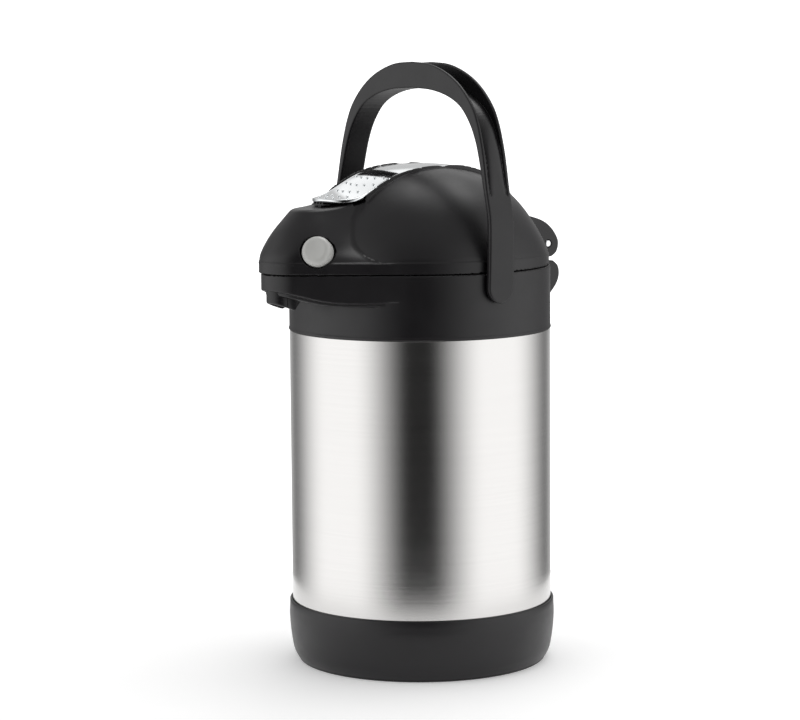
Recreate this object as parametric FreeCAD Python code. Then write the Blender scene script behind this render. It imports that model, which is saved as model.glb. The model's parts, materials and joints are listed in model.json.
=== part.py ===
"""Lever-action thermal airpot, as separate solids, in millimetres.

+Z is up, z = 0 is the ground and the Z axis is the pot's axis. The beak points along -Y, the lid's hinge
is at +Y and the carrying bail turns about the X direction.
"""
import FreeCAD, Part
import math
import os

Vector = FreeCAD.Vector

# Driving dimensions
SHELL_RADIUS = 83.0
SHEET = 0.6                 # steel of the outer shell
FLASK_SHEET = 0.8
WALL = 2.6                  # moulded plastic
RUNNING_GAP = 0.06          # radial, pin in hole
BASE_TOP = 39.6
SHELL_TOP = 213.0
SEAM = 253.0                # top of the collar
LID_BOTTOM = 253.4
SKIRT_TOP = 260.5

# Collar
COLLAR_RADIUS = 83.2
COLLAR_WALL = 3.7
DECK_BOTTOM = 229.0
DECK_TOP = 232.0
NECK_HOLE = 34.0
TRAY_FLOOR = 245.2

# Beak, in plan: two straight flanks that leave the round body and meet at a rounded nose
LID_RADIUS = 82.2
LID_TIP = -115.8
LID_NOSE = 24.0
COLLAR_TIP = -114.5
COLLAR_NOSE = 23.0

# Spout
NOZZLE_Y = -104.2
NOZZLE_HOLE = 6.8
PIPE_RADIUS = 4.2
PIPE_BORE = 3.1
PIPE_Z = 250.5
PIPE_BEND = 8.0
TUBE_Y = -22.0

# Rear hinge of the lid
HINGE_Y = 91.2
HINGE_Z = 263.0
HINGE_HALF_WIDTH = 16.0
HINGE_PIN = 1.75

# Carrying bail
BAIL_Z = 244.3
BAIL_WIDTH = 19.0            # at the pivots
BAIL_TOP_WIDTH = 17.4
BAIL_GROOVE = 13.2
BAIL_OUTER = 88.0
BAIL_INNER = 84.0
BAIL_PIN = 4.5
BAIL_LEAN = 1.2             # degrees, top towards the hinge

# Pump lever
LEVER_HALF_WIDTH = 21.0
LEVER_SHEET = 1.4
LEVER_FRAME = 2.8
LEVER_PIVOT_Y = 48.0
LEVER_PIVOT_Z = 297.5
LEVER_PIN = 2.0
CHANNEL_HALF_WIDTH = 21.7
CHANNEL_DROP = 5.2          # channel floor below the lever's top
CHANNEL_WALL = 2.4
POCKET_FLOOR = 291.6        # behind the pivot
LOCK_Y = -74.0
LOCK_TRAVEL = 5.0           # sideways

# Release buttons, one on each cheek of the beak
BUTTON_RADIUS = 9.8
BUTTON_CENTRE = Vector(26.4, -93.7, 267.2)
BUTTON_TURN = -52.0         # degrees about Z, from +X
BUTTON_RISE = 22.0          # degrees above the horizontal
BUTTON_PROUD = 3.6

# Stopper and bellows
STOPPER_RADIUS = 30.0
STOPPER_BOTTOM = 226.0
LID_BASE_TOP = 256.0
LID_SCREWS = [(48.0, 34.0), (-48.0, 34.0), (46.0, -40.0), (-46.0, -40.0)]
BELLOWS_TOP = 291.0
BELLOWS_OUTER = 36.0
BELLOWS_INNER = 30.0
BELLOWS_FOLDS = 5


# --- small builders -------------------------------------------------------------------------------

def cylinder(radius, bottom, top, x=0.0, y=0.0):
    return Part.makeCylinder(radius, top - bottom, Vector(x, y, bottom))


def tube(inner, outer, bottom, top, x=0.0, y=0.0):
    return cylinder(outer, bottom, top, x, y).cut(cylinder(inner, bottom - 1, top + 1, x, y))


def block(low, high):
    return Part.makeBox(high[0] - low[0], high[1] - low[1], high[2] - low[2], Vector(*low))


def rod(start, end, radius):
    return Part.makeCylinder(radius, (end - start).Length, start, end - start)


def cross_rod(radius, half_length, y, z):
    """A cylinder along X, centred on the symmetry plane."""
    return Part.makeCylinder(radius, 2 * half_length, Vector(-half_length, y, z), Vector(1, 0, 0))


def line(start, end):
    return Part.LineSegment(start, end).toShape()


def smooth(points, start_tangent=None, end_tangent=None):
    curve = Part.BSplineCurve()
    if start_tangent is None:
        curve.interpolate(points)
    else:
        curve.interpolate(Points=points, InitialTangent=start_tangent, FinalTangent=end_tangent)
    return curve.toShape()


def face(edges):
    return Part.Face(Part.Wire(edges))


def polygon(points):
    return Part.Face(Part.makePolygon(points + points[:1]))


def turned(profile):
    """Solid of revolution about Z from a closed polygon of (radius, z)."""
    return polygon([Vector(r, 0, z) for r, z in profile]).revolve(Vector(0, 0, 0), Vector(0, 0, 1), 360)


def across(shape_face, half_width):
    """Extrude a face in the YZ plane to both sides of the symmetry plane."""
    return shape_face.translated(Vector(-half_width, 0, 0)).extrude(Vector(2 * half_width, 0, 0))


def side(points):
    return [Vector(0, y, z) for y, z in points]


def mirrored(shape):
    return shape.mirror(Vector(0, 0, 0), Vector(1, 0, 0))


def united(shapes):
    return shapes[0].multiFuse(shapes[1:]).removeSplitter()


def offset_profile(points, distance):
    """Move each (a, b) point of an open profile to the right of its direction of travel."""
    moved = []
    last = len(points) - 1
    for i, (a, b) in enumerate(points):
        before = points[max(i - 1, 0)]
        after = points[min(i + 1, last)]
        da = after[0] - before[0]
        db = after[1] - before[1]
        length = math.hypot(da, db)
        moved.append((a + distance * db / length, b - distance * da / length))
    return moved


def coil(radius, wire, bottom, top, pitch, make_helix=Part.makeHelix):
    """A helical spring about Z, its ends cut square to the axis."""
    height = top - bottom - 2 * wire
    path = make_helix(pitch, height, radius)
    section = Part.Wire(Part.makeCircle(wire, Vector(radius, 0, 0), Vector(0, 1, 0)))
    spring = Part.Wire(path).makePipeShell([section], True, True)
    return spring.translated(Vector(0, 0, bottom + wire))


# --- shapes shared by several parts ---------------------------------------------------------------

def nose_wire(z, tip, nose, flank_x, flank_y, back_y):
    """Plan of the beak at one height: a round nose and two flanks through (+-flank_x, flank_y)."""
    centre_y = tip + nose
    reach = math.hypot(flank_x, flank_y - centre_y)
    angle = math.atan2(flank_y - centre_y, flank_x) - math.acos(nose / reach)
    touch_x = nose * math.cos(angle)
    touch_y = centre_y + nose * math.sin(angle)
    slope = (flank_x - touch_x) / (flank_y - touch_y)
    back_x = flank_x + slope * (back_y - flank_y)
    right = Vector(touch_x, touch_y, z)
    left = Vector(-touch_x, touch_y, z)
    back_right = Vector(back_x, back_y, z)
    back_left = Vector(-back_x, back_y, z)
    arc = Part.Arc(right, Vector(0, tip, z), left).toShape()
    return Part.Wire([line(back_right, right), arc, line(left, back_left), line(back_left, back_right)])


def egg(radius, tip, nose, bottom, top):
    """Prism whose plan is a circle with a beak: the flanks are tangent to circle and nose."""
    turn = math.asin((radius - nose) / abs(tip + nose))
    flank_x = radius * math.cos(turn)
    flank_y = -radius * math.sin(turn)
    plan = Part.Face(nose_wire(bottom, tip, nose, flank_x, flank_y, flank_y))
    return united([cylinder(radius, bottom, top), plan.extrude(Vector(0, 0, top - bottom))])


DOME = [(82.0, 260.5), (80.6, 264.7), (77.5, 271.4), (72.1, 280.6), (63.1, 292.7), (48.0, 305.6),
        (36.0, 311.8), (20.0, 316.1), (0.0, 317.4)]

# Height, tip, nose radius and a point on the flank, from the skirt up
BEAK = [(260.5, -115.5, 24.0, 58.0, -59.0),
        (264.0, -114.8, 24.5, 43.0, -69.5),
        (268.0, -112.8, 25.0, 35.2, -71.3),
        (273.0, -109.6, 24.5, 30.0, -70.8),
        (279.0, -105.2, 22.0, 25.8, -68.5),
        (285.0, -99.8, 19.0, 22.9, -65.1),
        (292.5, -92.6, 15.0, 20.8, -60.0),
        (301.0, -82.6, 14.5, 19.6, -52.0)]
BEAK_BACK = -50.0

# Top of the beak, under the lever's tip, in the symmetry plane
SHELF = [(-130.0, 291.6), (-92.0, 292.2), (-80.0, 292.7), (-70.0, 294.0), (-62.0, 296.6), (-55.0, 300.5),
         (-45.0, 307.0)]

# Top surface of the lever in the symmetry plane, tip first
LEVER = [(-78.0, 298.0), (-70.0, 298.4), (-62.0, 299.6), (-54.0, 302.4), (-46.0, 306.4), (-36.0, 311.1),
         (-24.0, 314.7), (-10.0, 316.8), (6.0, 317.4), (22.0, 316.0), (36.0, 311.6), (48.0, 304.8),
         (60.0, 296.0)]


def dome(inset):
    """Dome and skirt down to the lid's bottom, as a solid, its surface set in by inset."""
    profile = offset_profile(DOME, -inset)
    profile[-1] = (0.0, DOME[-1][1] - inset)
    points = [Vector(r, 0, z) for r, z in profile]
    foot_z = LID_BOTTOM if inset == 0 else LID_BOTTOM - 1
    radius = LID_RADIUS - inset
    crown = smooth(points, Vector(-0.2, 0, 1), Vector(-1, 0, 0))
    foot = Vector(radius, 0, foot_z)
    ledge = Vector(radius, 0, points[0].z)
    centre = Vector(0, 0, foot_z)
    edges = [line(centre, foot), line(foot, ledge), line(ledge, points[0]), crown, line(points[-1], centre)]
    return face(edges).revolve(Vector(0, 0, 0), Vector(0, 0, 1), 360)


def above_curve(points, ceiling):
    """Everything above a curve in the YZ plane, across the whole lid."""
    curve_points = side(points)
    top_back = Vector(0, points[-1][0], ceiling)
    top_front = Vector(0, points[0][0], ceiling)
    edges = [smooth(curve_points), line(curve_points[-1], top_back), line(top_back, top_front),
             line(top_front, curve_points[0])]
    return face(edges)


def beak(inset):
    """Upper beak, from the skirt to the shelf, its surface set in by inset."""
    sections = []
    for z, tip, nose, flank_x, flank_y in BEAK:
        sections.append(nose_wire(z, tip + inset, nose - 0.7 * inset, flank_x - 0.9 * inset,
                                  flank_y + 0.4 * inset, BEAK_BACK))
    lofted = Part.makeLoft(sections, True, False)
    shelf = above_curve([(y, z - inset) for y, z in SHELF], 320.0)
    return lofted.cut(across(shelf, 70.0))


def skirt(inset):
    overlap = 0 if inset == 0 else 1
    return egg(LID_RADIUS - inset, LID_TIP + inset, LID_NOSE - inset,
               LID_BOTTOM - overlap, SKIRT_TOP + overlap)


def lever_ribbon(top_drop, thickness, half_width, start, end):
    """A strip that follows the lever's top surface, from y = start to y = end."""
    outer = offset_profile(LEVER, top_drop)
    inner = offset_profile(LEVER, top_drop + thickness)
    upper = side(outer)
    lower = side(inner)
    edges = [smooth(upper), line(upper[-1], lower[-1]), smooth(lower), line(lower[0], upper[0])]
    strip = across(face(edges), half_width)
    return strip.common(block((-40, start, 280), (40, end, 330)))


def button_axis():
    turn = math.radians(BUTTON_TURN)
    rise = math.radians(BUTTON_RISE)
    return Vector(math.cos(rise) * math.cos(turn), math.cos(rise) * math.sin(turn), math.sin(rise))


def button_rod(radius, start, end):
    """Cylinder on the right-hand button's axis, between distances measured outwards from the cheek."""
    axis = button_axis()
    return rod(BUTTON_CENTRE + axis * start, BUTTON_CENTRE + axis * end, radius)


def button_well():
    return button_rod(BUTTON_RADIUS + 0.4, -13.0, 20.0)


def bottle(radius, bottom, corner, shoulder, neck, neck_z, top):
    """Solid outline of a flask: rounded bottom, straight wall, curved shoulder and a neck."""
    base = Vector(0, 0, bottom)
    floor_end = Vector(radius - corner, 0, bottom)
    wall_start = Vector(radius, 0, bottom + corner)
    bend = Vector(radius - corner * (1 - math.sqrt(0.5)), 0, bottom + corner * (1 - math.sqrt(0.5)))
    wall_end = Vector(radius, 0, shoulder)
    neck_start = Vector(neck, 0, neck_z)
    neck_end = Vector(neck, 0, top)
    centre = Vector(0, 0, top)
    middle = Vector((radius + neck) / 2, 0, (shoulder + neck_z) / 2 + 1.5)
    curve = smooth([wall_end, middle, neck_start], Vector(0, 0, 1), Vector(0, 0, 1))
    edges = [line(base, floor_end), Part.Arc(floor_end, bend, wall_start).toShape(),
             line(wall_start, wall_end), curve, line(neck_start, neck_end), line(neck_end, centre),
             line(centre, base)]
    return face(edges).revolve(Vector(0, 0, 0), Vector(0, 0, 1), 360)


# --- pot body -------------------------------------------------------------------------------------

def make_base_ring():
    outer = [(76.0, 0.0), (79.2, 1.6), (81.2, 4.6), (82.9, 9.0), (84.4, 19.0), (85.1, 29.0), (84.8, 35.0)]
    lip = Vector(83.7, 0, BASE_TOP)
    seat = 14.0
    flank = smooth([Vector(r, 0, z) for r, z in outer])
    corners = [Vector(84.8, 0, 35.0), lip, Vector(SHELL_RADIUS, 0, BASE_TOP), Vector(SHELL_RADIUS, 0, seat),
               Vector(79.0, 0, seat), Vector(79.0, 0, 8.0), Vector(26.0, 0, 8.0), Vector(26.0, 0, 5.0),
               Vector(70.0, 0, 5.0), Vector(70.0, 0, 0.0), Vector(76.0, 0, 0.0)]
    edges = [flank] + [line(a, b) for a, b in zip(corners[:-1], corners[1:])]
    return face(edges).revolve(Vector(0, 0, 0), Vector(0, 0, 1), 360)


def make_bottom_cap():
    flange = cylinder(34.0, 0.0, 5.0)
    spigot = cylinder(26.0, 5.0, 8.0)
    finger_hole = block((10.0, -4.0, -1.0), (22.0, 4.0, 3.0))
    return united([flange, spigot]).cut(finger_hole).cut(mirrored(finger_hole))


def around(shape, count, start=0.0):
    """Copies of a shape spaced evenly about the pot's axis, as one compound."""
    copies = []
    for i in range(count):
        copy = shape.copy()
        copy.rotate(Vector(0, 0, 0), Vector(0, 0, 1), start + 360.0 * i / count)
        copies.append(copy)
    return Part.Compound(copies)


def make_foot_pads():
    return around(cylinder(7.0, 0.0, 5.0, 55.0), 4, 45.0)


def make_outer_shell():
    return tube(SHELL_RADIUS - SHEET, SHELL_RADIUS, 14.0, SHELL_TOP)


def make_flask_cushion():
    return tube(20.0, 56.0, 8.0, 14.0)


def make_flask_jacket():
    outer = bottle(74.0, 14.0, 14.0, 194.0, 40.8, 212.0, 222.0)
    inner = bottle(74.0 - FLASK_SHEET, 14.0 + FLASK_SHEET, 13.2, 194.0, 40.8 - FLASK_SHEET, 211.4, 224.0)
    return outer.cut(inner)


def make_flask_liner():
    outer = bottle(68.0, 20.0, 14.0, 188.0, 36.0, 206.0, 222.0)
    inner = bottle(68.0 - FLASK_SHEET, 20.0 + FLASK_SHEET, 13.2, 188.0, 36.0 - FLASK_SHEET, 205.4, 224.0)
    lip = tube(36.0 - FLASK_SHEET, 40.8, 222.0, 223.0)
    return united([outer.cut(inner), lip])


def make_neck_seal():
    return tube(34.6, 41.0, 224.4, DECK_BOTTOM)


def make_tube_holder():
    ring = tube(28.0, 38.0, 223.0, 224.4)
    arm = block((-5, -30, 223.0), (5, TUBE_Y, 224.4))
    sleeve = cylinder(7.0, 217.0, 224.4, 0, TUBE_Y)
    return united([ring, arm, sleeve]).cut(cylinder(PIPE_RADIUS, 210, 226, 0, TUBE_Y))


def make_dip_tube():
    straight = tube(PIPE_BORE, PIPE_RADIUS, 26.0, 224.4, 0, TUBE_Y)
    slant = polygon(side([(TUBE_Y - 6, 25.0), (TUBE_Y + 6, 25.0), (TUBE_Y + 6, 34.0)]))
    return straight.cut(across(slant, 6.0))


def make_tube_gasket():
    return tube(PIPE_BORE, 6.4, 224.4, 225.4, 0, TUBE_Y)


def under_beak(drop):
    """Everything under the beak's curved underside, lowered by drop."""
    points = [(-130.0, 244.0), (-116.0, 243.4), (-108.0, 241.6), (-100.0, 239.2), (-92.0, 237.0),
              (-84.0, 235.9), (-70.0, 235.6)]
    underside = side([(y, z - drop) for y, z in points])
    low_back = Vector(0, underside[-1].y, 215.0)
    low_front = Vector(0, underside[0].y, 215.0)
    edges = [smooth(underside), line(underside[-1], low_back), line(low_back, low_front),
             line(low_front, underside[0])]
    return across(face(edges), 70.0)


def collar_outline():
    body = cylinder(COLLAR_RADIUS, SHELL_TOP, SEAM)
    band = egg(COLLAR_RADIUS, COLLAR_TIP, COLLAR_NOSE, 234.0, SEAM).cut(under_beak(0.0))
    bevel = egg(COLLAR_RADIUS - 0.5, COLLAR_TIP + 3.0, COLLAR_NOSE - 2.0, 230.0, 246.0).cut(under_beak(2.2))
    return united([body, band, bevel])


def make_collar():
    spigot = cylinder(SHELL_RADIUS - SHEET - 0.1, 205.0, SHELL_TOP)
    bead = tube(COLLAR_RADIUS - 1, SHELL_RADIUS + 0.5, SHELL_TOP, SHELL_TOP + 1.6)
    outside = united([collar_outline(), spigot, bead])
    inner = COLLAR_RADIUS - COLLAR_WALL
    skirt_room = cylinder(inner, 200.0, DECK_BOTTOM)
    top_room = cylinder(inner, DECK_TOP, SEAM + 1)
    tray = egg(inner, COLLAR_TIP + 3.0, COLLAR_NOSE - 3.0, TRAY_FLOOR, SEAM + 1)
    neck = cylinder(NECK_HOLE, 200.0, SEAM)
    nozzle_hole = cylinder(NOZZLE_HOLE, 225.0, SEAM, 0, NOZZLE_Y)
    pin_holes = cross_rod(BAIL_PIN + RUNNING_GAP, 90.0, 0, BAIL_Z)
    screw_holes = hinge_screw_rods(1.5, 70.0, 93.0)
    for hole in (united([skirt_room, top_room, tray, neck]), nozzle_hole, pin_holes, screw_holes):
        outside = outside.cut(hole)
    return outside


def hinge_screw_rods(radius, start, end):
    right = rod(Vector(10, start, 240), Vector(10, end, 240), radius)
    return Part.Compound([right, mirrored(right)])


def make_nozzle_cowl():
    profile = polygon(side([(-115.0, 244.5), (-115.0, 236.1), (-99.5, 230.6), (-94.5, 236.8),
                            (-88.0, 244.5)]))
    nose = cylinder(9.0, 220.0, 250.0, 0, NOZZLE_Y)
    back = block((-9.0, NOZZLE_Y, 220), (9.0, -80, 250))
    cowl = across(profile, 12.0).common(united([nose, back]))
    return cowl.cut(collar_outline()).cut(cylinder(NOZZLE_HOLE, 225.0, SEAM, 0, NOZZLE_Y))


def make_hinge_bracket():
    lobe_side = side([(81.2, 221.0), (87.2, 225.6), (94.2, 231.6), (98.8, 237.4), (100.5, 243.2),
                      (99.4, 248.4), (95.7, 251.8)])
    corner = Vector(0, 78.0, 251.8)
    low = Vector(0, 78.0, 221.0)
    edges = [smooth(lobe_side), line(lobe_side[-1], corner), line(corner, low), line(low, lobe_side[0])]
    lobe = across(face(edges), HINGE_HALF_WIDTH)
    stem = block((-7.4, HINGE_Y - 6.8, 250), (7.4, HINGE_Y + 6.8, HINGE_Z))
    knuckle = cross_rod(6.8, 7.4, HINGE_Y, HINGE_Z)
    solid = united([lobe, stem, knuckle]).cut(cylinder(COLLAR_RADIUS, 210, 262))
    pin_hole = cross_rod(HINGE_PIN + RUNNING_GAP, 20, HINGE_Y, HINGE_Z)
    return solid.cut(pin_hole).cut(hinge_screw_rods(1.5, 70, 93))


def make_hinge_screws():
    shafts = hinge_screw_rods(1.5, 78.0, 93.0)
    heads = hinge_screw_rods(3.0, 75.6, 78.4)
    return Part.Compound([united([shaft, head]) for shaft, head in zip(shafts.Solids, heads.Solids)])


def make_latch_catches():
    right = block((12.0, -85.4, TRAY_FLOOR), (17.0, -83.0, 249.5))
    return Part.Compound([right, mirrored(right)])


# --- lid ------------------------------------------------------------------------------------------

def hump():
    """Rear lobes of the lid round the hinge pin."""
    back = side([(68.0, 283.0), (77.2, 281.4), (87.5, 278.0), (94.4, 273.0), (98.8, 267.0), (99.9, 262.6),
                 (98.4, 257.4), (94.2, 254.3)])
    low_front = Vector(0, 68.0, 254.3)
    edges = [smooth(back), line(back[-1], low_front), line(low_front, back[0])]
    return across(face(edges), HINGE_HALF_WIDTH)


def channel(half_width, drop):
    """Room for the lever in the dome, its floor the given drop below the lever's top surface."""
    floor = [(y, z) for y, z in offset_profile(LEVER, drop) if y > -66.0]
    room = across(above_curve(floor, 335.0), half_width)
    wall = drop - CHANNEL_DROP
    pocket = block((-half_width, LEVER_PIVOT_Y - 6.2 - wall, POCKET_FLOOR - wall), (half_width, 62.0, 335))
    return united([room, pocket])


def make_lid_shell():
    outside = united([dome(0.0), skirt(0.0), beak(0.0), hump()])
    cavity = united([dome(WALL), skirt(WALL), beak(WALL)])
    channel_walls = channel(CHANNEL_HALF_WIDTH + CHANNEL_WALL, CHANNEL_DROP + CHANNEL_WALL).common(outside)
    guides = united([button_rod(12.2, -14.5, 4.0), mirrored(button_rod(12.2, -14.5, 4.0))])
    guides = guides.common(outside).cut(block((-60, -130, 240), (60, -40, LID_BASE_TOP)))
    posts = [cylinder(4.0, LID_BASE_TOP, 296.0, x, y) for x, y in LID_SCREWS]
    shell = united([outside.cut(cavity), channel_walls, guides] + [post.common(outside) for post in posts])
    shell = shell.cut(channel(CHANNEL_HALF_WIDTH, CHANNEL_DROP))
    shell = shell.cut(cylinder(14.4, 290.0, 330.0))
    for well in (button_well(), button_rod(2.4, -20.0, 0.0)):
        shell = shell.cut(well).cut(mirrored(well))
    tongue_room = united([block((-7.9, HINGE_Y - 8.2, 250), (7.9, 112, HINGE_Z + 8.3)),
                          cross_rod(8.3, 7.9, HINGE_Y, HINGE_Z)])
    shell = shell.cut(tongue_room).cut(cross_rod(HINGE_PIN, 14.6, HINGE_Y, HINGE_Z))
    shell = shell.cut(cross_rod(LEVER_PIN, 24.0, LEVER_PIVOT_Y, LEVER_PIVOT_Z))
    shell = shell.cut(Part.Compound([cylinder(1.5, 250.0, 268.0, x, y) for x, y in LID_SCREWS]))
    return shell.cut(lock_slot())


def lock_slot():
    return block((-2.2, LOCK_Y - 1.8, 285.0), (LOCK_TRAVEL + 2.2, LOCK_Y + 1.8, 300.0))


def make_lid_base():
    inset = WALL + 0.2
    plate = egg(LID_RADIUS - inset, LID_TIP + inset, LID_NOSE - inset, LID_BOTTOM, LID_BASE_TOP)
    pipe_slot = block((-4.6, -112.0, LID_BOTTOM - 1), (4.6, -24.0, LID_BASE_TOP - 1.0))
    latch_slot = block((7.5, -86.0, 250.0), (18.0, -72.0, 260.0))
    holes = [cylinder(16.0, 250.0, 260.0), pipe_slot, latch_slot, mirrored(latch_slot)]
    holes += [cylinder(1.5, 250.0, 260.0, x, y) for x, y in LID_SCREWS]
    holes += [button_well(), mirrored(button_well())]
    for hole in holes:
        plate = plate.cut(hole)
    return plate


def make_lid_screws():
    screws = []
    for x, y in LID_SCREWS:
        screws.append(united([cylinder(1.5, 251.0, 268.0, x, y), cylinder(3.2, 251.2, LID_BOTTOM, x, y)]))
    return Part.Compound(screws)


def make_hinge_pin():
    return cross_rod(HINGE_PIN, 14.6, HINGE_Y, HINGE_Z)


def make_lever_pin():
    return cross_rod(LEVER_PIN, 24.0, LEVER_PIVOT_Y, LEVER_PIVOT_Z)


def pipe_path(radius):
    """Spout pipe: up from the stopper, forward under the lid and down into the cowl."""
    level = PIPE_Z
    bend = PIPE_BEND
    half = bend * (1 - math.sqrt(0.5))
    start = Vector(0, TUBE_Y, STOPPER_BOTTOM)
    rise = Vector(0, TUBE_Y, level - bend)
    forward = Vector(0, TUBE_Y - bend, level)
    reach = Vector(0, NOZZLE_Y + bend, level)
    fall = Vector(0, NOZZLE_Y, level - bend)
    end = Vector(0, NOZZLE_Y, 234.8)
    back_bend = Part.Arc(rise, Vector(0, TUBE_Y - half, level - half), forward).toShape()
    front_bend = Part.Arc(reach, Vector(0, NOZZLE_Y + half, level - half), fall).toShape()
    path = Part.Wire([line(start, rise), back_bend, line(forward, reach), front_bend, line(fall, end)])
    section = Part.Wire(Part.makeCircle(radius, start, Vector(0, 0, 1)))
    return path.makePipeShell([section], True, True)


def make_spout_pipe():
    return pipe_path(PIPE_RADIUS).cut(pipe_path(PIPE_BORE))


def make_stopper():
    cup = turned([(0, STOPPER_BOTTOM), (STOPPER_RADIUS, STOPPER_BOTTOM), (STOPPER_RADIUS, 235.0),
                  (40.0, 235.0), (40.0, 238.0), (STOPPER_RADIUS, 238.0), (STOPPER_RADIUS, LID_BOTTOM),
                  (27.5, LID_BOTTOM), (27.5, 228.5), (0, 228.5)])
    return cup.cut(pipe_path(PIPE_RADIUS)).cut(cylinder(2.5, 220, 230, 0, 12))


def make_stopper_seal():
    return tube(33.0, 40.0, DECK_TOP + 0.4, 235.0)


def make_air_valve():
    stem = cylinder(2.5, 226.0, 229.5, 0, 12)
    return united([cylinder(6.0, 225.0, 226.0, 0, 12), stem])


def make_bellows():
    fold = (BELLOWS_TOP - LID_BASE_TOP - 4.0) / (2 * BELLOWS_FOLDS)
    outer = [(40.0, LID_BASE_TOP), (40.0, LID_BASE_TOP + 1.6)]
    inner = [(28.5, LID_BASE_TOP)]
    for i in range(2 * BELLOWS_FOLDS + 1):
        z = LID_BASE_TOP + 2.0 + i * fold
        radius = BELLOWS_INNER if i % 2 == 0 else BELLOWS_OUTER
        outer.append((radius + 1.2, z))
        inner.append((radius, z))
    outer.append((BELLOWS_INNER + 1.2, BELLOWS_TOP))
    inner.append((28.5, BELLOWS_TOP))
    return turned(outer + inner[::-1])


def make_bellows_spring():
    return coil(22.0, 0.9, LID_BASE_TOP, BELLOWS_TOP, 5.6)


def make_bellows_cap():
    disc = cylinder(33.0, BELLOWS_TOP, BELLOWS_TOP + 2.6)
    stem = cylinder(13.6, BELLOWS_TOP + 2.6, 307.5)
    knob = cylinder(6.0, 307.5, 311.8)
    return united([disc, stem, knob])


# --- lever ----------------------------------------------------------------------------------------

def lever_plan(half_width, tip, rear):
    centre_y = tip + half_width
    nose = cylinder(half_width, 270, 340, 0, centre_y)
    return united([nose, block((-half_width, centre_y, 270), (half_width, rear, 340))])


def make_lever_plate():
    return lever_ribbon(0.0, LEVER_SHEET, LEVER_HALF_WIDTH, -78.0, 58.0).common(
        lever_plan(LEVER_HALF_WIDTH, -76.5, 58.0))


def make_lever_frame():
    half = LEVER_HALF_WIDTH - 1.4
    ribbon = lever_ribbon(LEVER_SHEET, LEVER_FRAME, half, -56.0, 56.0)
    barrel = cross_rod(4.4, half, LEVER_PIVOT_Y, LEVER_PIVOT_Z)
    web = block((-half, LEVER_PIVOT_Y - 4.4, LEVER_PIVOT_Z), (half, LEVER_PIVOT_Y + 4.4, 301.0))
    below = lever_ribbon(LEVER_SHEET, 9.0, half, -56.0, 56.0)
    frame = united([ribbon, barrel, web.common(united([below, barrel]))])
    return frame.cut(cross_rod(LEVER_PIN + RUNNING_GAP, 30, LEVER_PIVOT_Y, LEVER_PIVOT_Z))


def make_lever_lock():
    body = block((-6.5, LOCK_Y - 2.6, 294.2), (6.5, LOCK_Y + 2.6, 295.0))
    ribs = []
    for x in (-5.8, -2.6, 0.6, 3.8):
        lean = [Vector(x, LOCK_Y - 2.4, 294.8), Vector(x + 1.4, LOCK_Y - 2.4, 294.8),
                Vector(x + 2.2, LOCK_Y - 2.4, 296.0), Vector(x + 0.8, LOCK_Y - 2.4, 296.0)]
        ribs.append(polygon(lean).extrude(Vector(0, 4.8, 0)))
    stem = block((-1.8, LOCK_Y - 1.4, 288.0), (1.8, LOCK_Y + 1.4, 294.4))
    foot = block((-4.0, LOCK_Y - 2.6, 286.6), (4.0, LOCK_Y + 2.6, 288.4))
    return united([body, stem, foot] + ribs)


# --- release buttons ------------------------------------------------------------------------------

def make_button():
    return button_rod(BUTTON_RADIUS, -5.5, BUTTON_PROUD)


def make_button_spring():
    spring = coil(5.0, 0.6, 0.0, 7.5, 1.9, Part.makeLongHelix)
    axis = button_axis()
    placement = FreeCAD.Placement(BUTTON_CENTRE - axis * 13.0, FreeCAD.Rotation(Vector(0, 0, 1), axis))
    spring.Placement = placement.multiply(spring.Placement)
    return spring


def make_latch():
    stem = button_rod(2.0, -17.5, -5.5)
    hook = block((12.0, -82.4, 248.0), (16.4, -78.4, 265.0))
    return united([stem, hook])


# --- bail -----------------------------------------------------------------------------------------

# Half outlines of the bail, as (distance from the pot's axis, height above the pivot)
BAIL_OUTSIDE = [(88.0, 30.0), (86.9, 44.0), (83.2, 58.3), (80.7, 70.3), (78.5, 80.3), (75.9, 89.3),
                (72.3, 99.3), (66.6, 109.5), (56.9, 119.5), (46.0, 126.9), (33.0, 132.5), (18.0, 136.2),
                (0.0, 137.3)]
BAIL_INSIDE = [(84.0, 30.0), (83.4, 43.0), (79.4, 58.3), (76.6, 68.3), (73.4, 79.3), (69.6, 89.3),
               (63.7, 99.3), (53.9, 109.3), (40.0, 115.8), (22.0, 119.6), (0.0, 120.8)]
# Floor of the groove in the arch, from where it leaves the outer surface
BAIL_GROOVE_FLOOR = [(80.2, 75.0), (77.6, 84.0), (74.8, 91.0), (71.0, 98.6), (64.4, 106.8), (55.4, 113.5),
                     (41.0, 119.6), (22.0, 123.2), (0.0, 124.2)]


def arch(half_outline):
    """Symmetric curve over the pot through a half outline, from +X to -X."""
    right = [Vector(x, 0, BAIL_Z + h) for x, h in half_outline]
    left = [Vector(-point.x, 0, point.z) for point in right[-2::-1]]
    return right + left


def arch_edge(half_outline):
    return smooth(arch(half_outline), Vector(0, 0, 1), Vector(0, 0, -1))


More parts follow.
